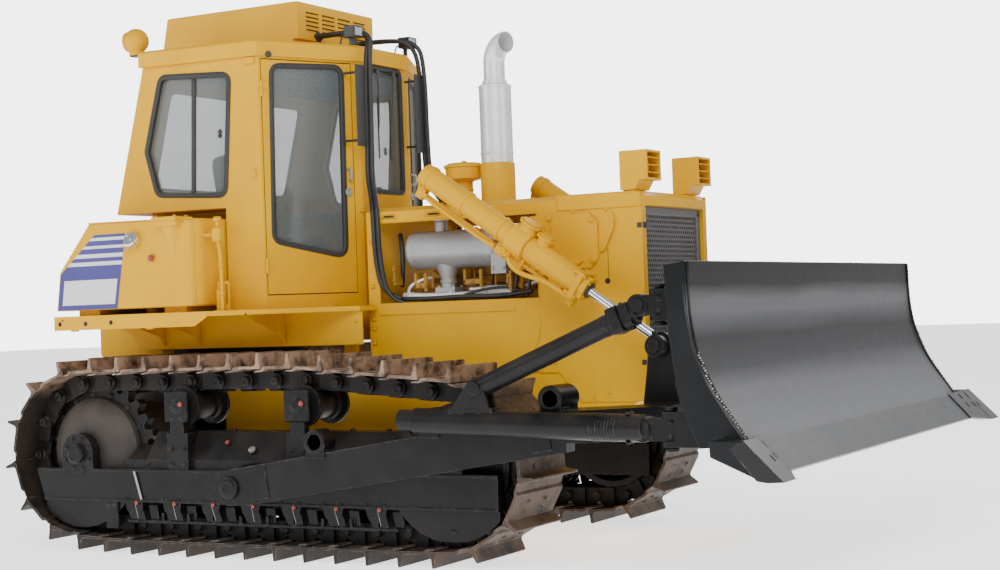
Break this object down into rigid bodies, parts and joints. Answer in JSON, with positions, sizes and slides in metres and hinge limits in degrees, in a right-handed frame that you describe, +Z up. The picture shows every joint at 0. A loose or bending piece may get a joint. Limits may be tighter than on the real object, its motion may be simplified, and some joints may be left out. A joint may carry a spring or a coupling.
{
  "type": "bulldozer",
  "caption": "Crawler bulldozer with closed six-sided cab, side fender tanks and a raised angling blade on an outside push frame.",
  "frame": {"origin": "on the ground under the middle of the machine's outline", "axes": "+X forwards to the blade, +Y to the machine's left, +Z up"},
  "size_m": [5.352, 3.836, 3.236],
  "materials": {
    "yellow_paint": "semi-gloss enamel",
    "frame_black": "satin, dusty",
    "track_steel": "worn, soil on the shoes",
    "wheel_iron": "dark, oily",
    "drive_grey": "dusty cast housing",
    "blade_black": "satin charcoal",
    "edge_steel": "dull, dark",
    "rod_chrome": "polished",
    "cab_glass": "slightly green",
    "engine_paint": "dull yellow, dusty",
    "muffler_grey": "satin grey",
    "stack_silver": "satin silver",
    "grille_grey": "satin grey",
    "radiator_black": "matt black",
    "seat_cover": "matt vinyl",
    "console_grey": "matt",
    "hose_rubber": "matt black",
    "lamp_black": "matt black"
  },
  "bodies": {
    "chassis": {"main_frame": "yellow_paint", "rear_case": "frame_black", "final_drives": "drive_grey", "equalizer_bar": "frame_black", "track_frame_right": "frame_black", "track_frame_left": "frame_black", "track_right": "track_steel", "track_left": "track_steel", "sprockets": "wheel_iron", "idlers": "wheel_iron", "track_rollers": "wheel_iron", "carrier_rollers": "wheel_iron", "fender_right": "yellow_paint", "fender_left": "yellow_paint", "hydraulic_tank": "yellow_paint", "battery_box": "yellow_paint", "fuel_tank": "yellow_paint", "cab_body": "yellow_paint", "cab_roof": "yellow_paint", "ac_unit": "yellow_paint", "cab_glass": "cab_glass", "seat": "seat_cover", "console": "console_grey", "hood": "yellow_paint", "nose": "yellow_paint", "grille": "grille_grey", "radiator": "radiator_black", "headlamp_guards": "yellow_paint", "engine": "engine_paint", "muffler": "muffler_grey", "exhaust_stack": "stack_silver", "precleaner": "yellow_paint", "cylinder_supports": "yellow_paint", "roof_lamps": "lamp_black", "beacon": "yellow_paint", "ac_hoses": "hose_rubber"},
    "blade_assembly": {"c_frame": "frame_black", "struts": "frame_black", "blade": "blade_black", "cutting_edges": "edge_steel"},
    "barrel_right": {"barrel_right": "yellow_paint"},
    "barrel_left": {"barrel_left": "yellow_paint"},
    "rod_right": {"rod_right": "rod_chrome"},
    "rod_left": {"rod_left": "rod_chrome"},
    "door_right": {"door_right": "yellow_paint", "door_glass_right": "cab_glass"},
    "door_left": {"door_left": "yellow_paint", "door_glass_left": "cab_glass"}
  },
  "joints": [
    {"name": "blade_lift", "type": "hinge", "parent": "chassis", "child": "blade_assembly", "pos_m": [-0.762, 0, 0.414], "axis": [0, -1, 0], "range_deg": [-16, 9]},
    {"name": "barrel_swing_right", "type": "hinge", "parent": "chassis", "child": "barrel_right", "pos_m": [0.774, -0.667, 1.7], "axis": [0, -1, 0], "range_deg": [-21.5, 12.2]},
    {"name": "barrel_swing_left", "type": "hinge", "parent": "chassis", "child": "barrel_left", "pos_m": [0.774, 0.667, 1.7], "axis": [0, -1, 0], "range_deg": [-21.5, 12.2]},
    {"name": "rod_slide_right", "type": "slide", "parent": "barrel_right", "child": "rod_right", "axis": [0.8226, 0, -0.5686], "range_m": [-0.305, 0.54]},
    {"name": "rod_slide_left", "type": "slide", "parent": "barrel_left", "child": "rod_left", "axis": [0.8226, 0, -0.5686], "range_m": [-0.305, 0.54]},
    {"name": "door_right_hinge", "type": "hinge", "parent": "chassis", "child": "door_right", "pos_m": [-0.7754, -0.87193, 2.154], "axis": [0, 0, -1], "range_deg": [0, 105]},
    {"name": "door_left_hinge", "type": "hinge", "parent": "chassis", "child": "door_left", "pos_m": [-0.7754, 0.87193, 2.154], "axis": [0, 0, 1], "range_deg": [0, 105]}
  ],
  "couplings": [
    {"joint": "barrel_swing_right", "follows": "blade_lift", "ratio": 1.33},
    {"joint": "barrel_swing_left", "follows": "blade_lift", "ratio": 1.33},
    {"joint": "rod_slide_right", "follows": "blade_lift", "m_per_rad": -1.92},
    {"joint": "rod_slide_left", "follows": "blade_lift", "m_per_rad": -1.92}
  ]
}
